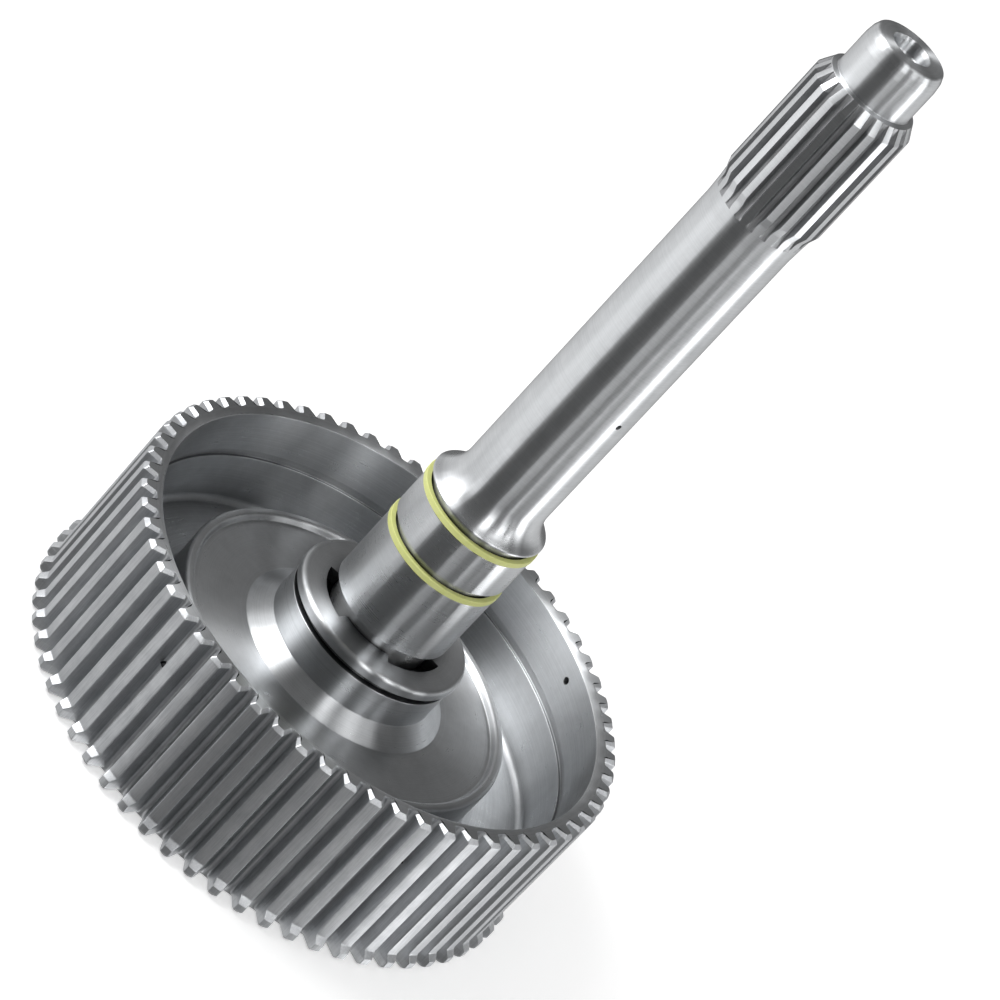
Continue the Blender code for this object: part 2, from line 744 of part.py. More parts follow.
def build_bush(parts, material):
    bottom = SHAFT_END_Z + FIT_GAP
    top = bottom + BUSH_LENGTH
    outline = [
        (BUSH_BORE_R, top - BUSH_CHAMFER),
        (BUSH_BORE_R + BUSH_CHAMFER, top),
        (BUSH_R - BUSH_CHAMFER, top),
        (BUSH_R, top - BUSH_CHAMFER),
        (BUSH_R, bottom + BUSH_CHAMFER),
        (BUSH_R - BUSH_CHAMFER, bottom),
        (BUSH_BORE_R + BUSH_CHAMFER, bottom),
        (BUSH_BORE_R, bottom + BUSH_CHAMFER),
    ]
    bush = turned("pilot_bush", outline, RING_STEPS, parts, material)
    finish(bush)


def main():
    clear_scene()
    parts = new_collection("transmission_input_shaft")
    cutters = new_collection("cutters")
    drum_steel = new_material("machined drum steel", (0.42, 0.43, 0.44), 0.30, 1.0)
    shaft_steel = new_material("ground shaft steel", (0.55, 0.56, 0.57), 0.22, 1.0)
    ring_polymer = new_material("seal ring polymer", (0.62, 0.66, 0.15), 0.45, 0.0)
    spring_steel = new_material("oiled spring steel", (0.10, 0.10, 0.11), 0.40, 1.0)
    bush_bronze = new_material("bush bronze", (0.60, 0.42, 0.18), 0.35, 1.0)
    build_drum(parts, cutters, drum_steel)
    build_shaft(parts, cutters, shaft_steel)
    build_seal_ring(
        "upper_seal_ring", UPPER_GROOVE_Z, math.radians(165.0), parts, cutters, ring_polymer
    )
    build_seal_ring(
        "lower_seal_ring", LOWER_GROOVE_Z, math.radians(-150.0), parts, cutters, ring_polymer
    )
    build_snap_ring(parts, spring_steel)
    build_bush(parts, bush_bronze)


main()
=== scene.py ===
"""Looks of the transmission input shaft: machined steel drum and shaft, seal rings, studio."""

import math

import bmesh
import bpy
from mathutils import Matrix, Vector


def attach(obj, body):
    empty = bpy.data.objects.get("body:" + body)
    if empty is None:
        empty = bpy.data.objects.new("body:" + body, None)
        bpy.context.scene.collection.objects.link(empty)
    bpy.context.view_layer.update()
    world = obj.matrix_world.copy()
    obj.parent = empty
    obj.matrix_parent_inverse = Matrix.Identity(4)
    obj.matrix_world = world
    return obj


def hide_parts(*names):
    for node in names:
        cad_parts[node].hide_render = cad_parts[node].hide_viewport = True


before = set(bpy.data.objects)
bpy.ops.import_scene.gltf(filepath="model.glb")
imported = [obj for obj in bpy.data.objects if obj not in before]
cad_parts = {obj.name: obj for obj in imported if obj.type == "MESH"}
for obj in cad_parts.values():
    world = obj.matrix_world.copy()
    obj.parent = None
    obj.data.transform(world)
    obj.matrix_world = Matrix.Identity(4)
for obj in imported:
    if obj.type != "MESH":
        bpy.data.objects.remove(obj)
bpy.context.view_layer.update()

# Clutch drum: one steel forging, turned all over, with 62 straight teeth hobbed in its wall.
# The turned faces carry fine lathe rings round the axis; the teeth carry lines along it.
# The web, platform and hub are one piece with the wall. Sections are in millimetres.
MM = 0.001
TOOTH_COUNT = 62
TOOTH_PITCH = 2 * math.pi / TOOTH_COUNT
TOOTH_TURNS = [tooth * TOOTH_PITCH for tooth in range(TOOTH_COUNT)]
TOOTH_ROOT_R = 71.7
TOOTH_DEPTH = 4.2
TOOTH_TIP_WIDTH = 3.5
TOOTH_GAP_WIDTH = 1.7
TIP_ROUND = 0.35
TIP_ROUND_MIDDLE = (0.1, 0.06)
ROOT_FILLET_RISE = 0.5
ROOT_FILLET_CORNER = (0.1, 0.02)
ROOT_FILLET_SHARES = (0.0, 0.16, 0.34, 0.55, 0.78, 1.0)
END_DEBURR = 0.9
DRUM_LENGTH = 50.2
DRUM_BORE_R = 69.4
DRUM_TURN_STEPS = 4 * TOOTH_COUNT
EDGE_BREAK = 0.2
FINE_EDGE_BREAK = 0.15
FILLET_SIDE_SHARE = 0.45
FACET_ANGLE = math.radians(12)
CRISP_ANGLE = math.radians(32)


def rounded(corners, closed=True):
    """Section through (r, z) or (r, z, fillet) corners, each fillet as a fine arc."""
    section = []
    for index, corner in enumerate(corners):
        here = Vector(corner[:2])
        if len(corner) == 2 or (not closed and index in (0, len(corners) - 1)):
            section.append(here)
            continue
        back = Vector(corners[index - 1][:2]) - here
        ahead = Vector(corners[(index + 1) % len(corners)][:2]) - here
        half_turn = back.angle(ahead) / 2
        longest = FILLET_SIDE_SHARE * min(back.length, ahead.length)
        run = min(corner[2] / math.tan(half_turn), longest)
        reach = run / math.cos(half_turn)
        centre = here + (back.normalized() + ahead.normalized()).normalized() * reach
        start = here + back.normalized() * run - centre
        end = here + ahead.normalized() * run - centre
        sweep = start.angle_signed(end)
        facets = max(2, math.ceil(abs(sweep) / FACET_ANGLE))
        for step in range(facets + 1):
            section.append(centre + Matrix.Rotation(-sweep * step / facets, 2) @ start)
    return section


def broken(corners, size=EDGE_BREAK):
    """The same corners, each sharp one with its edge broken by the given size."""
    return [corner if len(corner) == 3 else (*corner, size) for corner in corners]


def polar(angle, radius, z):
    """Point in metres at an angle from the front, -Y, counted towards +X."""
    return Vector((radius * math.sin(angle), -radius * math.cos(angle), z)) * MM


def turned_ring(radius, z, steps, first=0.0):
    """Plain round ring of points at one height."""
    return [polar(first + 2 * math.pi * n / steps, radius, z) for n in range(steps)]


def cut_ring(half, middles, z):
    """Ring of teeth or gaps, one at each turn, mirrored from a half of (angle, radius) points."""
    ring = []
    for middle in middles:
        for angle, radius in reversed(half[1:]):
            ring.append(polar(middle - angle, radius, z))
        for angle, radius in half[:-1]:
            ring.append(polar(middle + angle, radius, z))
    return ring


def skin(mesh, rings, wrap=False, material=0):
    """Quads between rings of points, row by row; returns the first and last rows."""
    rows = [[mesh.verts.new(point) for point in ring] for ring in rings]
    pairs = list(zip(rows, rows[1:]))
    if wrap:
        pairs.append((rows[-1], rows[0]))
    for upper, lower in pairs:
        for index in range(len(upper)):
            beside = (index + 1) % len(upper)
            quad = mesh.faces.new((upper[index], lower[index], lower[beside], upper[beside]))
            quad.material_index = material
    return rows[0], rows[-1]


def bridge(mesh, loop_a, loop_b):
    """Flat ring of triangles between two round loops of unlike counts."""

    def turn(vert):
        return math.atan2(vert.co.x, -vert.co.y)

    a, b = sorted(loop_a, key=turn), sorted(loop_b, key=turn)
    turns_a = [turn(vert) for vert in a] + [turn(a[0]) + 2 * math.pi]
    turns_b = [turn(vert) for vert in b] + [turn(b[0]) + 2 * math.pi]
    i = j = 0
    while i < len(a) or j < len(b):
        here_a, here_b = a[i % len(a)], b[j % len(b)]
        if j == len(b) or (i < len(a) and turns_a[i + 1] <= turns_b[j + 1]):
            i += 1
            mesh.faces.new((here_a, a[i % len(a)], here_b))
        else:
            j += 1
            mesh.faces.new((here_a, b[j % len(b)], here_b))


def prism(mesh, outline, bottom, top):
    """Upright prism on a flat outline of (x, y) points in millimetres."""
    rings = [[Vector((x, y, z)) * MM for x, y in outline] for z in (top, bottom)]
    upper, lower = skin(mesh, rings)
    mesh.faces.new(reversed(upper))
    mesh.faces.new(lower)


def bar(mesh, start, end, radius, sides=24):
    """Round bar from one point in metres to another, as a drill would cut it."""
    run = end - start
    turn = run.to_track_quat("Z", "Y").to_matrix().to_4x4()
    turn.translation = (start + end) / 2
    bmesh.ops.create_cone(
        mesh,
        cap_ends=True,
        segments=sides,
        radius1=radius * MM,
        radius2=radius * MM,
        depth=run.length,
        matrix=turn,
    )


def piece(name, mesh, materials):
    """New object from a bmesh, with its faces pointing out."""
    bmesh.ops.recalc_face_normals(mesh, faces=mesh.faces)
    if mesh.calc_volume(signed=True) < 0:
        bmesh.ops.reverse_faces(mesh, faces=mesh.faces)
    data = bpy.data.meshes.new(name)
    mesh.to_mesh(data)
    mesh.free()
    obj = bpy.data.objects.new(name, data)
    bpy.context.scene.collection.objects.link(obj)
    for material in materials:
        data.materials.append(material)
    return obj


def cut_away(obj, cutter_mesh):
    """Cuts a bmesh of closed shapes out of a piece."""
    cutter = piece(obj.name + "_cuts", cutter_mesh, [])
    boolean = obj.modifiers.new("cuts", "BOOLEAN")
    boolean.solver = "EXACT"
    boolean.object = cutter
    bpy.context.view_layer.update()
    evaluated = obj.evaluated_get(bpy.context.evaluated_depsgraph_get())
    data = bpy.data.meshes.new_from_object(evaluated)
    obj.modifiers.clear()
    obj.data = data
    data.name = obj.name
    bpy.data.objects.remove(cutter)


def smooth(obj):
    """Smooth shading with crisp corners; wide flats keep their own normals."""
    obj.data.shade_smooth()
    obj.data.set_sharp_from_angle(angle=CRISP_ANGLE)
    weighted = obj.modifiers.new("even shading", "WEIGHTED_NORMAL")
    weighted.keep_sharp = True


def linear(hex_colour):
    """sRGB hex to linear RGBA."""
    channels = [int(hex_colour[i : i + 2], 16) / 255 for i in (1, 3, 5)]
    bent = [c / 12.92 if c <= 0.04045 else ((c + 0.055) / 1.055) ** 2.4 for c in channels]
    return (*bent, 1.0)


def node(tree, kind, links=(), values=(), **settings):
    """Adds a node; links are (input, output socket) pairs and values are (input, number)."""
    made = tree.nodes.new(kind)
    for key, setting in settings.items():
        setattr(made, key, setting)
    for key, value in values:
        made.inputs[key].default_value = value
    for key, socket in links:
        tree.links.new(socket, made.inputs[key])
    return made


def spread(tree, value, start, end, low=0.0, high=1.0, **settings):
    """Maps a value's span from start to end onto the span from low to high."""
    spans = [("From Min", start), ("From Max", end), ("To Min", low), ("To Max", high)]
    return node(tree, "ShaderNodeMapRange", [("Value", value)], spans, **settings).outputs[0]


def mixed(tree, share, first, second, kind="FLOAT"):
    """Mix of two values or colours, each of them a socket or a constant."""
    made = node(tree, "ShaderNodeMix", [("Factor", share)], data_type=kind)
    for key, value in (("A", first), ("B", second)):
        if isinstance(value, bpy.types.NodeSocket):
            tree.links.new(value, made.inputs[key])
        else:
            made.inputs[key].default_value = value
    return made.outputs["Result"]


# Near-black colour that steel() paints into grooves, gaps and corners as painted shade
PAINTED_SHADE_DARK = "#2A2B2D"
BLOTCH_MM = 7
RELIEF_MM = 0.02
WEAR_SPAN = (0.6, 1.4)
STAIN_SPAN = (0.7, 1.3)
SHELTER_SPAN = (0.2, 0.8)
ALONG_AXIS = (1, 1, 0.04)


def steel(name, colours, roughness, stretch, line_mm, bump, painted_shade_reach_mm, round_axis=True):
    """Machined steel, whose tool lines draw its highlights out across them.

    Turned faces have their lines round the axis, so highlights run along the axis and out
    along the web. Fine noise breaks the lines up, and a slow one gives oil and handling marks.
    Grooves, gaps and corners get painted shade: an ambient occlusion node darkens the steel
    there.
    """
    material = bpy.data.materials.new(name)
    material.use_nodes = True
    tree = material.node_tree
    shader = tree.nodes["Principled BSDF"]
    shader.inputs["Metallic"].default_value = 1.0
    shader.inputs["Anisotropic"].default_value = stretch
    shader.inputs["Anisotropic Rotation"].default_value = 0.25 if round_axis else 0.0
    place = node(tree, "ShaderNodeTexCoord").outputs["Object"]
    if round_axis:
        parts = node(tree, "ShaderNodeSeparateXYZ", [("Vector", place)]).outputs
        flat = node(tree, "ShaderNodeCombineXYZ", [("X", parts["X"]), ("Y", parts["Y"])])
        radius = node(
            tree, "ShaderNodeVectorMath", [("Vector", flat.outputs[0])], operation="LENGTH"
        ).outputs["Value"]
        grain = node(tree, "ShaderNodeCombineXYZ", [("X", radius), ("Y", parts["Z"])]).outputs[0]
    else:
        grain = node(
            tree,
            "ShaderNodeVectorMath",
            [("Vector", place)],
            [(1, ALONG_AXIS)],
            operation="MULTIPLY",
        ).outputs[0]
    lines = node(
        tree,
        "ShaderNodeTexNoise",
        [("Vector", grain)],
        [("Scale", 1 / (line_mm * MM)), ("Detail", 3.0), ("Roughness", 0.6)],
    ).outputs["Fac"]
    blotch = node(
        tree,
        "ShaderNodeTexNoise",
        [("Vector", place)],
        [("Scale", 1 / (BLOTCH_MM * MM)), ("Detail", 6.0), ("Roughness", 0.62)],
    ).outputs["Fac"]
    worn = node(tree, "ShaderNodeMath", [(0, lines), (1, blotch)], operation="ADD").outputs[0]
    tree.links.new(spread(tree, worn, *WEAR_SPAN, *roughness), shader.inputs["Roughness"])
    stain = spread(tree, worn, *STAIN_SPAN)
    stained = mixed(tree, stain, linear(colours[0]), linear(colours[1]), "RGBA")
    # Painted shade: ambient occlusion within the given reach darkens the base colour in grooves,
    # gaps and corners
    shelter = node(
        tree, "ShaderNodeAmbientOcclusion", values=[("Distance", painted_shade_reach_mm * MM)], samples=8
    ).outputs["AO"]
    painted_shade_share = spread(tree, shelter, *SHELTER_SPAN, 1.0, 0.0)
    painted_shade_colour = mixed(tree, painted_shade_share, stained, linear(PAINTED_SHADE_DARK), "RGBA")
    tree.links.new(painted_shade_colour, shader.inputs["Base Color"])
    relief = node(
        tree,
        "ShaderNodeBump",
        [("Height", lines)],
        [("Strength", bump), ("Distance", RELIEF_MM * MM)],
    ).outputs[0]
    tree.links.new(relief, shader.inputs["Normal"])
    tangent = node(tree, "ShaderNodeTangent", direction_type="RADIAL", axis="Z").outputs[0]
    tree.links.new(tangent, shader.inputs["Tangent"])
    return material


# Turned drum steel: mid grey and fairly smooth, with highlights drawn out along the axis
turned_drum_steel = steel(
    "turned drum steel",
    ("#C6C8CA", "#B0B2B4"),
    roughness=(0.26, 0.33),
    stretch=1.0,
    line_mm=0.3,
    bump=0.06,
    painted_shade_reach_mm=9.0,
)
# Hobbed drum steel: duller and even, with cutter lines along the teeth
hobbed_drum_steel = steel(
    "hobbed drum steel",
    ("#C2C4C6", "#A6A8AB"),
    roughness=(0.37, 0.49),
    stretch=0.0,
    line_mm=0.3,
    bump=0.12,
    painted_shade_reach_mm=0.6,
    round_axis=False,
)


def tooth_ring(blank_r, z):
    """The toothed outline at one height, cut off by the turned blank's radius there.

    Near both ends the gaps flare out, where the teeth were deburred with a hand wheel.
    """
    flare_out = max(0.0, END_DEBURR - min(DRUM_LENGTH - z, z))
    root_half = TOOTH_ROOT_R * TOOTH_PITCH / 2 - TOOTH_GAP_WIDTH / 2 - flare_out
    tip_half = TOOTH_TIP_WIDTH / 2 - flare_out
    lean = (root_half - tip_half) / TOOTH_DEPTH
    # the rise at which the leaning flank meets the blank, found by halving
    low, high = 0.0, 2 * TOOTH_DEPTH
    for _ in range(40):
        rise = (low + high) / 2
        if math.hypot(root_half - lean * rise, TOOTH_ROOT_R + rise) < blank_r:
            low = rise
        else:
            high = rise
    edge_half = root_half - lean * rise
    edge_r = TOOTH_ROOT_R + rise
    half = [
        (0.0, blank_r),
        (edge_half - TIP_ROUND, math.sqrt(blank_r**2 - (edge_half - TIP_ROUND) ** 2)),
        (edge_half - TIP_ROUND_MIDDLE[0], edge_r - TIP_ROUND_MIDDLE[1]),
        (edge_half + lean * TIP_ROUND, edge_r - TIP_ROUND),
    ]
    # root fillet: an arc that leaves the flank and meets the floor in the gap's middle
    start_x = root_half - lean * ROOT_FILLET_RISE
    start_y = TOOTH_ROOT_R + ROOT_FILLET_RISE
    corner_x = root_half + ROOT_FILLET_CORNER[0]
    corner_y = TOOTH_ROOT_R + ROOT_FILLET_CORNER[1]
    gap_x = TOOTH_ROOT_R * math.sin(TOOTH_PITCH / 2)
    gap_y = TOOTH_ROOT_R * math.cos(TOOTH_PITCH / 2)
    for share in ROOT_FILLET_SHARES:
        ease = (1 - share) ** 2
        fall = share * (1 - share) * 2
        x = ease * start_x + fall * corner_x + share**2 * gap_x
        y = ease * start_y + fall * corner_y + share**2 * gap_y
        half.append((x, y))
    return cut_ring([(math.atan2(x, y), math.hypot(x, y)) for x, y in half], TOOTH_TURNS, z)


# The two sections run from the drum's open end to its rear face
outside = rounded(
    [
        (74.9, DRUM_LENGTH),
        (75.65, DRUM_LENGTH - END_DEBURR),
        (75.9, 49.0, 0.4),
        (75.9, 5.0, 0.8),
        (77.7, 3.4, 0.4),
        (77.7, 1.4, 0.4),
        (77.2, END_DEBURR),
        (76.3, 0.0),
    ],
    closed=False,
)
inside = rounded(
    broken(
        [
            (71.1, DRUM_LENGTH),
            (DRUM_BORE_R, 49.2),
            (DRUM_BORE_R, 35.0),
            (70.3, 35.0),
            (70.3, 32.4),
            (DRUM_BORE_R, 32.4),
            (DRUM_BORE_R, 15.5, 2.0),
            (51.0, 15.5, 2.0),
            (51.0, 33.0, 1.2),
            (48.5, 33.0, 1.1),
            (47.7, 31.2, 0.5),
            (31.2, 31.2, 0.6),
            (25.6, 35.6, 0.4),
            (25.6, 44.5),
            (23.4, 44.5),
            (23.4, 46.7),
            (26.2, 46.7),
            (26.2, 49.8, 1.5),
            (15.6, 49.8),
            (15.6, 34.6),
            (14.5, 34.0),
            (14.5, 14.6),
            (15.1, 14.0),
            (22.9, 14.0),
            (24.0, 15.1),
            (24.0, 25.0, 2.0),
            (45.0, 25.0, 2.0),
            (45.0, 10.5),
            (66.0, 10.5, 2.0),
            (66.0, 1.1),
            (67.1, 0.0),
        ]
    ),
    closed=False,
)
drum_mesh = bmesh.new()
half_step = math.pi / DRUM_TURN_STEPS
top_outer, bottom_outer = skin(drum_mesh, [tooth_ring(r, z) for r, z in outside], material=1)
top_inner, bottom_inner = skin(
    drum_mesh, [turned_ring(r, z, DRUM_TURN_STEPS, half_step) for r, z in inside]
)
bridge(drum_mesh, top_outer, top_inner)
bridge(drum_mesh, bottom_outer, bottom_inner)
clutch_drum = piece("clutch_drum_turned", drum_mesh, [turned_drum_steel, hobbed_drum_steel])

# Oil holes through the wall, by tooth pitches from the front and by height
WALL_HOLES = ((-4.5, 33.7), (6.5, 33.7), (23.5, 43.6))
WALL_HOLE_R = 1.1
WALL_HOLE_FROM_R, WALL_HOLE_TO_R = 67.1, 77.7
drum_cuts = bmesh.new()
for pitches, z in WALL_HOLES:
    angle = pitches * 2 * math.pi / TOOTH_COUNT
    start = polar(angle, WALL_HOLE_FROM_R, z)
    bar(drum_cuts, start, polar(angle, WALL_HOLE_TO_R, z), WALL_HOLE_R)
# Oil slots: four kidneys in the hub's top face, open towards the shaft's foot
SLOT_MIDDLES = (57, 140, 220, 303)
SLOT_HALF, SLOT_STEP = 30, 4
SLOT_FOOT_R, SLOT_RIM_R = 15.0, 19.0
SLOT_FLOOR_Z, SLOT_OPEN_Z = 46.0, 50.5
for middle in SLOT_MIDDLES:
    degrees = range(middle - SLOT_HALF, middle + SLOT_HALF + 1, SLOT_STEP)
    turns = [math.radians(turn) for turn in degrees]
    rim = [polar(turn, SLOT_RIM_R, 0) / MM for turn in turns]
    foot = [polar(turn, SLOT_FOOT_R, 0) / MM for turn in reversed(turns)]
    outline = [(point.x, point.y) for point in rim + foot]
    prism(drum_cuts, outline, SLOT_FLOOR_Z, SLOT_OPEN_Z)
# Drain hole, down through the hub from one slot
DRAIN_TURN = math.radians(63)
DRAIN_PLACE_R, DRAIN_HOLE_R = 17.4, 1.2
DRAIN_LOW_Z, DRAIN_TOP_Z = 10.0, 46.5
drain_low = polar(DRAIN_TURN, DRAIN_PLACE_R, DRAIN_LOW_Z)
bar(drum_cuts, drain_low, polar(DRAIN_TURN, DRAIN_PLACE_R, DRAIN_TOP_Z), DRAIN_HOLE_R)
# Splined part of the hub's bore, which takes the shaft's rear spline
HUB_SPLINE_COUNT = 24
HUB_SPLINE_GAP = ((-1.475, -13.9), (-1.05, -15.6), (1.05, -15.6), (1.475, -13.9))
HUB_SPLINE_LOW_Z, HUB_SPLINE_TOP_Z = 13.7, 34.6
hub_spline = []
for tooth in range(HUB_SPLINE_COUNT):
    turn = Matrix.Rotation(2 * math.pi * tooth / HUB_SPLINE_COUNT, 2)
    hub_spline += [turn @ Vector(corner) for corner in HUB_SPLINE_GAP]
prism(drum_cuts, hub_spline, HUB_SPLINE_LOW_Z, HUB_SPLINE_TOP_Z)
cut_away(clutch_drum, drum_cuts)
smooth(clutch_drum)
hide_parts("clutch_drum")
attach(clutch_drum, "root")

# Input shaft: one steel forging, turned and ground, drilled through for oil.
# Its front spline has 21 teeth whose gaps run out in a hob's arc; the rear spline is in the hub.
# Ground steel is brighter and finer than the drum's, with lines round the axis.
SPLINE_COUNT = 21
FIRST_GAP_TURN = math.radians(3.15)
GAP_TURNS = [FIRST_GAP_TURN + gap * 2 * math.pi / SPLINE_COUNT for gap in range(SPLINE_COUNT)]
SPLINE_TIP_R = 14.6
SPLINE_ROOT_R = 12.9
SPLINE_TOP_Z = 246.5
SPLINE_START_Z = 210.1
HOB_R = 35.0
GAP_FLOOR_HALF = 0.65
GAP_LEAN = 0.294
GAP_EDGE, GAP_ROOT = 0.22, 0.3
ROUNDED_SHARE = 0.4
FULL_GAP_DEPTH = 0.5


def spline_floor(z):
    """Radius of the spline gaps' floor at a height: flat, then the hob's run-out arc."""
    drop = SPLINE_START_Z - z
    if drop <= 0:
        return SPLINE_ROOT_R
    if drop >= HOB_R:
        return SPLINE_ROOT_R + HOB_R
    return SPLINE_ROOT_R + HOB_R - math.sqrt(HOB_R**2 - drop**2)


def gap_points(floor_r, blank_r):
    """Half of one spline gap as (angle, radius), from the middle of its floor to mid tooth."""
    depth = blank_r - floor_r
    edge = min(GAP_EDGE, ROUNDED_SHARE * depth)
    root = min(GAP_ROOT, ROUNDED_SHARE * depth)
    mouth_half = GAP_FLOOR_HALF + GAP_LEAN * depth
    mid_tooth = math.pi / SPLINE_COUNT
    half = [
        (0.0, floor_r),
        (GAP_FLOOR_HALF - root * 0.8, floor_r),
        (GAP_FLOOR_HALF - root * 0.1, floor_r + root * 0.25),
        (GAP_FLOOR_HALF + GAP_LEAN * root, floor_r + root),
        (mouth_half - GAP_LEAN * edge, blank_r - edge),
        (mouth_half + edge * 0.25, blank_r - edge * 0.2),
        (mouth_half + edge, blank_r),
        (math.sin(mid_tooth) * blank_r, math.cos(mid_tooth) * blank_r),
    ]
    return [(math.atan2(x, y), min(math.hypot(x, y), blank_r)) for x, y in half]


def spline_ring(blank_r, z, in_spline):
    """The shaft's outline at one height, with the spline's gaps where they are cut."""
    floor_r = min(spline_floor(z), blank_r) if in_spline else blank_r
    share = min(1.0, (blank_r - floor_r) / FULL_GAP_DEPTH)
    evenly = [angle for angle, _ in gap_points(SPLINE_ROOT_R, SPLINE_TIP_R)]
    points = []
    for even, (angle, radius) in zip(evenly, gap_points(floor_r, blank_r)):
        points.append((even + (angle - even) * share, radius))
    return cut_ring(points, GAP_TURNS, z)


JOURNAL_R = 17.8
GROOVE_R, GROOVE_HEIGHT = 15.95, 4.0
GROOVES_Z = (90.4, 75.0)
BODY_R = 13.15
FLARE_R = 9.0
FLARE_END_R = 17.5
FLARE_END_Z = 95.2
FLARE_STEPS = 10
flare_centre_r = BODY_R + FLARE_R
flare_run = flare_centre_r - FLARE_END_R
flare_rise = math.sqrt(FLARE_R**2 - flare_run**2)
flare_turn = math.atan2(flare_rise, flare_run)
flare = []
for step in range(FLARE_STEPS + 1):
    angle = flare_turn * step / FLARE_STEPS
    r = flare_centre_r - FLARE_R * math.cos(angle)
    flare.append((r, FLARE_END_Z + flare_rise - FLARE_R * math.sin(angle)))
nose_end = [
    (5.6, 260.9, 0.3),
    (9.9, 260.9, 0.9),
    (10.7, 258.9, 2.0),
    (11.0, 256.4, 2.0),
    (11.0, 246.8, 0.3),
    (12.5, SPLINE_TOP_Z, 0.3),
]
spline_top = [
    (SPLINE_TIP_R, 242.7, 0.4),
    (SPLINE_TIP_R, SPLINE_START_Z, 0.6),
    (13.7, 207.5, 2.0),
]
swell = [(13.42, 204.3, 3.0), (BODY_R, 199.6, 8.0)]
journal = [(JOURNAL_R, 94.9)]
for groove_z in GROOVES_Z:
    journal += [
        (JOURNAL_R, groove_z + GROOVE_HEIGHT),
        (GROOVE_R, groove_z + GROOVE_HEIGHT),
        (GROOVE_R, groove_z),
        (JOURNAL_R, groove_z),
    ]
rear_end = [
    (JOURNAL_R, 53.4),
    (15.3, 53.4),
    (15.3, 14.3),
    (13.9, 14.3),
    (13.9, 14.0),
    (12.7, 14.0),
    (12.7, 11.6),
    (13.9, 11.6),
    (13.9, 9.7),
    (12.8, 8.6),
    (8.7, 8.6),
    (8.7, 23.2),
    (3.75, 28.15),
    (3.75, 256.5),
    (4.9, 257.6),
    (5.2, 259.8),
]
shaft_section = rounded(
    broken(nose_end + spline_top + swell, FINE_EDGE_BREAK)
    + flare
    + broken(journal + rear_end, FINE_EDGE_BREAK)
)
# The gaps are cut in the part outside the nose; in their run-out the rings stand close
# together, so that the hob's arc comes out smooth
GAPS_OUTSIDE_R = 11.05
GAPS_LOW_Z, GAPS_TOP_Z = 200.0, 247.0
RUN_OUT_LOW_Z = 199.0
WIDEST_STEP, RUN_OUT_STEP = 1.2, 0.8
shaft_rings = []
previous = None
for r, z in shaft_section:
    in_run_out = RUN_OUT_LOW_Z < z < SPLINE_START_Z
    if previous and in_run_out and previous[1] - z > WIDEST_STEP:
        steps = math.ceil((previous[1] - z) / RUN_OUT_STEP)
        for step in range(1, steps):
            share = step / steps
            mid_r = previous[0] + (r - previous[0]) * share
            mid_z = previous[1] + (z - previous[1]) * share
            shaft_rings.append(spline_ring(mid_r, mid_z, True))
    has_gaps = r > GAPS_OUTSIDE_R and GAPS_LOW_Z < z < GAPS_TOP_Z
    shaft_rings.append(spline_ring(r, z, has_gaps))
    previous = (r, z)
shaft_mesh = bmesh.new()
skin(shaft_mesh, shaft_rings, wrap=True)
# Turned shaft steel: brighter than the drum, with a fine grain round the axis
turned_shaft_steel = steel(
    "fine turned shaft steel",
    ("#CED0D2", "#BEC0C2"),
    roughness=(0.31, 0.39),
    stretch=0.97,
    line_mm=0.25,
    bump=0.07,
    painted_shade_reach_mm=1.5,
)
# The journal below the flare is ground after turning, so it is smoother than the body
GROUND_TOP_Z, TURNED_LOW_Z = 100, 118
GROUND_ROUGHNESS = 0.82
shaft_tree = turned_shaft_steel.node_tree
shaft_shader = shaft_tree.nodes["Principled BSDF"]
turned_rough = shaft_shader.inputs["Roughness"].links[0].from_socket
shaft_place = node(shaft_tree, "ShaderNodeTexCoord").outputs["Object"]
shaft_height = node(shaft_tree, "ShaderNodeSeparateXYZ", [("Vector", shaft_place)]).outputs["Z"]
ground_share = spread(
    shaft_tree, shaft_height, GROUND_TOP_Z * MM, TURNED_LOW_Z * MM, GROUND_ROUGHNESS, 1.0
)
ground_rough = node(
    shaft_tree, "ShaderNodeMath", [(0, turned_rough), (1, ground_share)], operation="MULTIPLY"
).outputs[0]
shaft_tree.links.new(ground_rough, shaft_shader.inputs["Roughness"])
# Hobbed spline steel: darker and duller, with cutter lines along the gaps
hobbed_spline_steel = steel(
    "hobbed spline steel",
    ("#B2B3B5", "#949597"),
    roughness=(0.42, 0.54),
    stretch=0.0,
    line_mm=0.25,
    bump=0.12,
    painted_shade_reach_mm=1.0,
    round_axis=False,
)
# Only the gaps are hobbed; the tops of the spline's teeth keep the body's turned finish.
# A ring has 14 faces to each gap and tooth, of which 2 to 11 are the gap's.
FACES_PER_TOOTH = 14
GAP_FACES = range(2, 12)
SHALLOWEST_GAP_R = 13.4
for index, face in enumerate(shaft_mesh.faces):
    z = face.calc_center_median().z / MM
    in_gap = index % FACES_PER_TOOTH in GAP_FACES
    if in_gap and z < SPLINE_TOP_Z and spline_floor(z) < SHALLOWEST_GAP_R:
        face.material_index = 1
input_shaft = piece("input_shaft_ground", shaft_mesh, [turned_shaft_steel, hobbed_spline_steel])
REAR_SPLINE_GAP = ((-0.83, -14.2), (-1.67, -16.4), (1.67, -16.4), (0.83, -14.2))
REAR_SPLINE_TOP_Z = 35.1
shaft_cuts = bmesh.new()
for gap in range(HUB_SPLINE_COUNT):
    turn = Matrix.Rotation(2 * math.pi * (gap + 0.5) / HUB_SPLINE_COUNT, 2)
    outline = [turn @ Vector(corner) for corner in REAR_SPLINE_GAP]
    prism(shaft_cuts, outline, HUB_SPLINE_LOW_Z, REAR_SPLINE_TOP_Z)
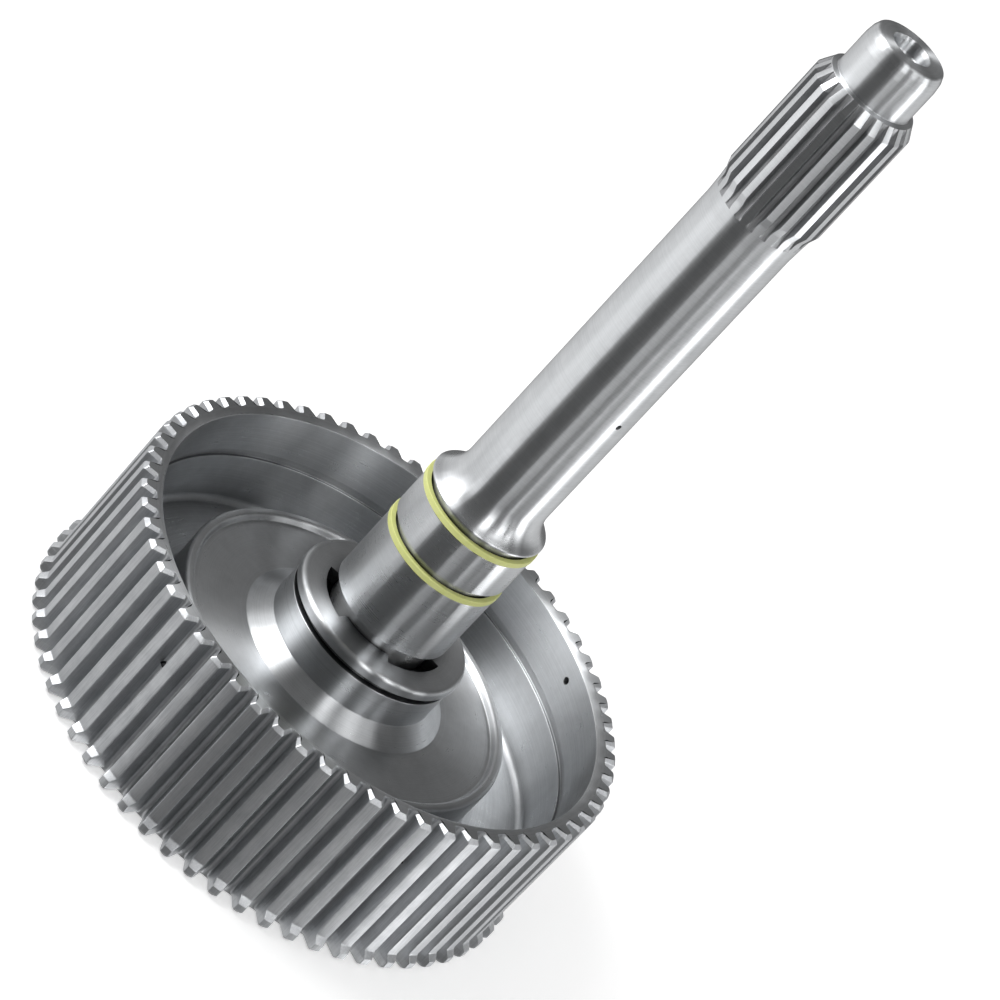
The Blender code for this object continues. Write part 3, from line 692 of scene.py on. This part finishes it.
# Oil holes into the axial bore, one in the body and one between the seal rings:
# turn from the front, height, how far out the drill starts, and radius
BODY_HOLE = (0.94, 139.2, 17.8, 0.8)
FEED_HOLE = (math.pi, 84.7, 19.5, 1.5)
for angle, z, reach, hole_r in (BODY_HOLE, FEED_HOLE):
    bar(shaft_cuts, polar(angle, 0.0, z), polar(angle, reach, z), hole_r)
cut_away(input_shaft, shaft_cuts)
smooth(input_shaft)
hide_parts("input_shaft")
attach(input_shaft, "root")

# Seal rings: two moulded rings of filled polymer, yellow-green and satin.
# Each is cut through on a slant so that it can spring over the journal into its groove.
# They rest on the lower side of their grooves.
RING_R, RING_INNER_R, RING_HEIGHT = 18.05, 16.5, 1.7
RING_EDGE = 0.18
RING_STEPS = 200
RING_CUT_HALF = 0.3
RING_SLANT = math.tan(math.radians(40))
FLECK_MM = 1.6
ring_polymer = bpy.data.materials.new("filled seal polymer")
ring_polymer.use_nodes = True
ring_tree = ring_polymer.node_tree
ring_shader = ring_tree.nodes["Principled BSDF"]
ring_shader.inputs["IOR"].default_value = 1.45
ring_place = node(ring_tree, "ShaderNodeTexCoord").outputs["Object"]
ring_fleck = node(
    ring_tree,
    "ShaderNodeTexNoise",
    [("Vector", ring_place)],
    [("Scale", 1 / (FLECK_MM * MM)), ("Detail", 4.0)],
).outputs["Fac"]
ring_tint = mixed(ring_tree, ring_fleck, linear("#E6EC84"), linear("#F8FBB6"), "RGBA")
ring_tree.links.new(ring_tint, ring_shader.inputs["Base Color"])
ring_rough = spread(ring_tree, ring_fleck, 0.0, 1.0, 0.36, 0.52)
ring_tree.links.new(ring_rough, ring_shader.inputs["Roughness"])
ring_bump = node(
    ring_tree,
    "ShaderNodeBump",
    [("Height", ring_fleck)],
    [("Strength", 0.15), ("Distance", RELIEF_MM * MM)],
).outputs[0]
ring_tree.links.new(ring_bump, ring_shader.inputs["Normal"])


def seal_ring(name, node_name, bottom, cut_degrees):
    """One split ring, with its lower face at a height and its cut at an angle."""
    top = bottom + RING_HEIGHT
    middle_z = (top + bottom) / 2
    corners = [(RING_INNER_R, top), (RING_R, top), (RING_R, bottom), (RING_INNER_R, bottom)]
    section = rounded(broken(corners, RING_EDGE))
    mean_r = (RING_R + RING_INNER_R) / 2
    cut_at = math.radians(cut_degrees)
    half_cut = RING_CUT_HALF / mean_r
    mesh = bmesh.new()
    rows = []
    for step in range(RING_STEPS + 1):
        share = step / RING_STEPS
        turn = cut_at + half_cut + (2 * math.pi - 2 * half_cut) * share
        row = []
        for r, z in section:
            lean = (z - middle_z) * RING_SLANT / mean_r
            row.append(mesh.verts.new(polar(turn - lean, r, z)))
        rows.append(row)
    for row, after in zip(rows, rows[1:]):
        for index in range(len(row)):
            beside = (index + 1) % len(row)
            mesh.faces.new((row[index], after[index], after[beside], row[beside]))
    mesh.faces.new(rows[0])
    mesh.faces.new(reversed(rows[-1]))
    ring = piece(name, mesh, [ring_polymer])
    smooth(ring)
    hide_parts(node_name)
    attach(ring, "root")


seal_ring("upper_seal_ring_moulded", "upper_seal_ring", bottom=90.5, cut_degrees=165)
seal_ring("lower_seal_ring_moulded", "lower_seal_ring", bottom=75.1, cut_degrees=-150)

# Snap ring: stamped spring steel, oil blackened, with two eared ends drilled for pliers.
# It sits in the shaft's rear groove and keeps the spigot in the hub.
blackened_spring_steel = steel(
    "blackened spring steel",
    ("#3C3B3D", "#2C2B2C"),
    roughness=(0.30, 0.48),
    stretch=0.3,
    line_mm=0.3,
    bump=0.1,
    painted_shade_reach_mm=2.0,
)
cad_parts["shaft_snap_ring"].data.materials.clear()
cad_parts["shaft_snap_ring"].data.materials.append(blackened_spring_steel)

# Pilot bush: turned bronze, pressed into the shaft's rear counterbore.
# Bronze is a warm brown-gold with fine turning lines in its bore.
BUSH_TURN_STEPS = 128
bush_bronze = steel(
    "turned bush bronze",
    ("#C79A5B", "#A97C43"),
    roughness=(0.26, 0.4),
    stretch=0.9,
    line_mm=0.2,
    bump=0.08,
    painted_shade_reach_mm=3.0,
)
bush_section = rounded(
    broken(
        [
            (6.2, 22.3),
            (6.8, 22.9),
            (7.8, 22.9),
            (8.4, 22.3),
            (8.4, 9.5),
            (7.8, 8.9),
            (6.8, 8.9),
            (6.2, 9.5),
        ],
        FINE_EDGE_BREAK,
    )
)
bush_mesh = bmesh.new()
skin(bush_mesh, [turned_ring(r, z, BUSH_TURN_STEPS) for r, z in bush_section], wrap=True)
pilot_bush = piece("pilot_bush_turned", bush_mesh, [bush_bronze])
smooth(pilot_bush)
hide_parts("pilot_bush")
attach(pilot_bush, "root")

# Studio: a plain white floor and backdrop, and soft strip lights round the object.
# The metal sees the strip lights and the gaps between them, laid out by compass direction.
FLOOR_HALF = 6.0
FLOOR_DROP = 0.0002
FLOOR_GLOW = 0.5
floor_mesh = bmesh.new()
bmesh.ops.create_grid(floor_mesh, x_segments=1, y_segments=1, size=FLOOR_HALF)
floor_white = bpy.data.materials.new("white paper sweep")
floor_white.use_nodes = True
floor_tree = floor_white.node_tree
floor_shader = floor_tree.nodes["Principled BSDF"]
floor_shader.inputs["Base Color"].default_value = (0.80, 0.80, 0.80, 1.0)
floor_shader.inputs["Roughness"].default_value = 0.9
floor_shader.inputs["Specular IOR Level"].default_value = 0.0
floor_shader.inputs["Emission Color"].default_value = (1.0, 1.0, 1.0, 1.0)
floor_rays = node(floor_tree, "ShaderNodeLightPath").outputs["Is Camera Ray"]
floor_glow = node(
    floor_tree, "ShaderNodeMath", [(0, floor_rays)], [(1, FLOOR_GLOW)], operation="MULTIPLY"
).outputs[0]
floor_tree.links.new(floor_glow, floor_shader.inputs["Emission Strength"])
floor = piece("floor", floor_mesh, [floor_white])
floor.location.z = -FLOOR_DROP
floor.visible_glossy = False

world = bpy.data.worlds.new("studio")
bpy.context.scene.world = world
world.use_nodes = True
world_tree = world.node_tree
world_tree.nodes.clear()
heading = node(world_tree, "ShaderNodeTexCoord").outputs["Generated"]
way = node(world_tree, "ShaderNodeSeparateXYZ", [("Vector", heading)]).outputs
south = node(
    world_tree, "ShaderNodeMath", [(0, way["Y"])], [(1, -1.0)], operation="MULTIPLY"
).outputs[0]
compass = node(
    world_tree, "ShaderNodeMath", [(0, way["X"]), (1, south)], operation="ARCTAN2"
).outputs[0]
round_share = spread(world_tree, compass, -math.pi, math.pi)
# Brightness round the compass: degrees from the front towards +X, and the strength there.
# The low strips stand on the table; the high ones are the lamps' own bright windows.
LOW_STRIPS = [
    (-180, 0.22),
    (-158, 0.30),
    (-150, 1.05),
    (-110, 1.30),
    (-90, 0.90),
    (-62, 0.90),
    (-57, 1.30),
    (-54, 1.70),
    (-42, 1.70),
    (-37, 0.60),
    (-30, 0.17),
    (11, 0.18),
    (14, 0.85),
    (18, 0.85),
    (22, 0.30),
    (44, 0.30),
    (47, 1.50),
    (51, 1.50),
    (55, 0.32),
    (64, 0.32),
    (67, 0.90),
    (70, 0.90),
    (73, 0.34),
    (82, 0.38),
    (86, 4.20),
    (98, 4.20),
    (104, 0.90),
    (116, 1.30),
    (150, 1.00),
    (160, 0.30),
    (180, 0.22),
]
HIGH_STRIPS = [
    (-180, 0.30),
    (-160, 0.30),
    (-140, 0.60),
    (-125, 0.90),
    (-112, 2.40),
    (-107, 4.00),
    (-66, 4.00),
    (-60, 2.00),
    (-54, 0.30),
    (-45, 0.18),
    (15, 0.18),
    (20, 5.00),
    (30, 5.00),
    (34, 0.20),
    (51, 0.20),
    (54, 5.00),
    (61, 5.00),
    (64, 0.20),
    (73, 0.20),
    (76, 4.00),
    (82, 4.00),
    (85, 0.25),
    (101, 0.20),
    (112, 0.15),
    (165, 0.15),
    (180, 0.30),
]
STRONGEST = 5.0
# Heights on the sky's unit sphere where one light gives way to the next, and plain strengths
LOW_TO_HIGH = (0.15, 0.45)
HIGH_TO_CEILING = (0.88, 0.97)
CEILING = 0.35
FILL_LIGHT = 0.75
PLAIN_WHITE = 1.0


def compass_light(strips):
    """Strength of the light that comes from each direction round the compass."""
    ramp = node(world_tree, "ShaderNodeValToRGB", [("Fac", round_share)])
    stops = ramp.color_ramp.elements
    while len(stops) > 1:
        stops.remove(stops[-1])
    for index, (degrees, strength) in enumerate(strips):
        share = (degrees + 180) / 360
        stop = stops[0] if index == 0 else stops.new(share)
        stop.position = share
        stop.color = (*[strength / STRONGEST] * 3, 1.0)
    return node(
        world_tree,
        "ShaderNodeMath",
        [(0, ramp.outputs["Color"])],
        [(1, STRONGEST)],
        operation="MULTIPLY",
    ).outputs[0]


def height_share(low, high):
    """0 below the low height of the sky's unit sphere, 1 above the high one."""
    return spread(world_tree, way["Z"], low, high, interpolation_type="SMOOTHSTEP")


strips = mixed(
    world_tree,
    height_share(*LOW_TO_HIGH),
    compass_light(LOW_STRIPS),
    compass_light(HIGH_STRIPS),
)
studio_view = mixed(world_tree, height_share(*HIGH_TO_CEILING), strips, CEILING)
rays = node(world_tree, "ShaderNodeLightPath").outputs
seen_by_metal = mixed(world_tree, rays["Is Glossy Ray"], FILL_LIGHT, studio_view)
seen = mixed(world_tree, rays["Is Camera Ray"], seen_by_metal, PLAIN_WHITE)
background = node(world_tree, "ShaderNodeBackground", [("Strength", seen)]).outputs[0]
node(world_tree, "ShaderNodeOutputWorld", [("Surface", background)])

KEY_PLACE = Vector((-0.77, -0.07, 0.92))
KEY_AIM = Vector((0, 0, 0.08))
key_light = bpy.data.lights.new("key softbox", "AREA")
key_light.energy = 6.0
key_light.size = 0.5
key = bpy.data.objects.new("key_softbox", key_light)
bpy.context.scene.collection.objects.link(key)
key.location = KEY_PLACE
key.rotation_euler = (KEY_AIM - key.location).to_track_quat("-Z", "Y").to_euler()

# Camera: the photo's viewing angle, a long lens looking down at the shaft, rolled clockwise.
CAMERA_PLACE = Vector((0.00129, -0.93995, 0.60154))
CAMERA_DIP = math.radians(28.206)
CAMERA_ROLL = math.radians(42.95)
CAMERA_LENS = 151.0
camera_data = bpy.data.cameras.new("camera")
camera_data.lens = CAMERA_LENS
camera_data.sensor_width = 36.0
camera_data.clip_start = 0.05
camera_data.clip_end = 20.0
camera = bpy.data.objects.new("camera", camera_data)
bpy.context.scene.collection.objects.link(camera)
forward = Vector((0, math.cos(CAMERA_DIP), -math.sin(CAMERA_DIP)))
level_up = Vector((0, math.sin(CAMERA_DIP), math.cos(CAMERA_DIP)))
level_right = Vector((1, 0, 0))
camera_up = math.cos(CAMERA_ROLL) * level_up - math.sin(CAMERA_ROLL) * level_right
camera_right = math.cos(CAMERA_ROLL) * level_right + math.sin(CAMERA_ROLL) * level_up
facing = Matrix((camera_right, camera_up, -forward)).transposed().to_4x4()
facing.translation = CAMERA_PLACE
camera.matrix_world = facing
bpy.context.scene.camera = camera
bpy.context.scene.view_settings.view_transform = "Standard"
